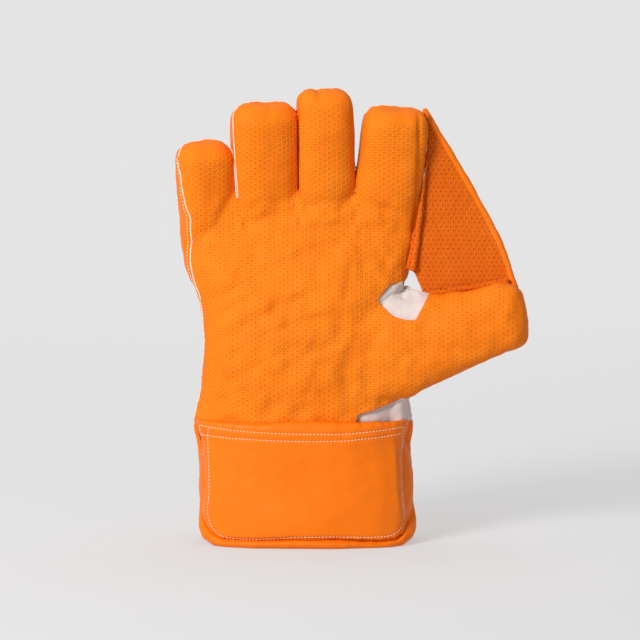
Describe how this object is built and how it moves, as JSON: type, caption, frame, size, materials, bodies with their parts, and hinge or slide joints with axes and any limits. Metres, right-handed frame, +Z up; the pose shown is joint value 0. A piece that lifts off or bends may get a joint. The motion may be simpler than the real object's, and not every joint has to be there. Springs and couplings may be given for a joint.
{
  "type": "wicketkeeping glove",
  "caption": "Orange leather wicketkeeping glove with dimpled rubber facing, catching web and rolled cuff.",
  "frame": {"origin": "middle of the glove's box on the surface that the cuff stands on", "axes": "+Z up from cuff to fingertips, palm faces -Y, thumb towards +X"},
  "size_m": [0.215, 0.0788, 0.2801],
  "materials": {
    "facing_rubber": "matte dimpled rubber",
    "orange_leather": "smooth satin leather",
    "cuff_leather": "smooth padded leather",
    "white_leather": "soft undyed leather"
  },
  "bodies": {
    "root": {"palm_facing": "facing_rubber", "finger_welt": "white_leather", "thumb_welt": "white_leather", "hand_back": "orange_leather", "little_finger_back": "orange_leather", "ring_finger_back": "orange_leather", "middle_finger_back": "orange_leather", "index_finger_back": "orange_leather", "thumb_back": "orange_leather", "thumb_gusset": "white_leather", "wrist_gusset": "white_leather", "web_panel": "facing_rubber", "web_binding": "orange_leather", "web_flange_index": "facing_rubber", "web_flange_thumb": "facing_rubber", "cuff_front_panel": "cuff_leather", "cuff_front_band": "cuff_leather", "cuff_front_roll": "cuff_leather", "cuff_back_panel": "cuff_leather", "cuff_back_band": "cuff_leather", "cuff_back_roll": "cuff_leather"}
  },
  "joints": []
}
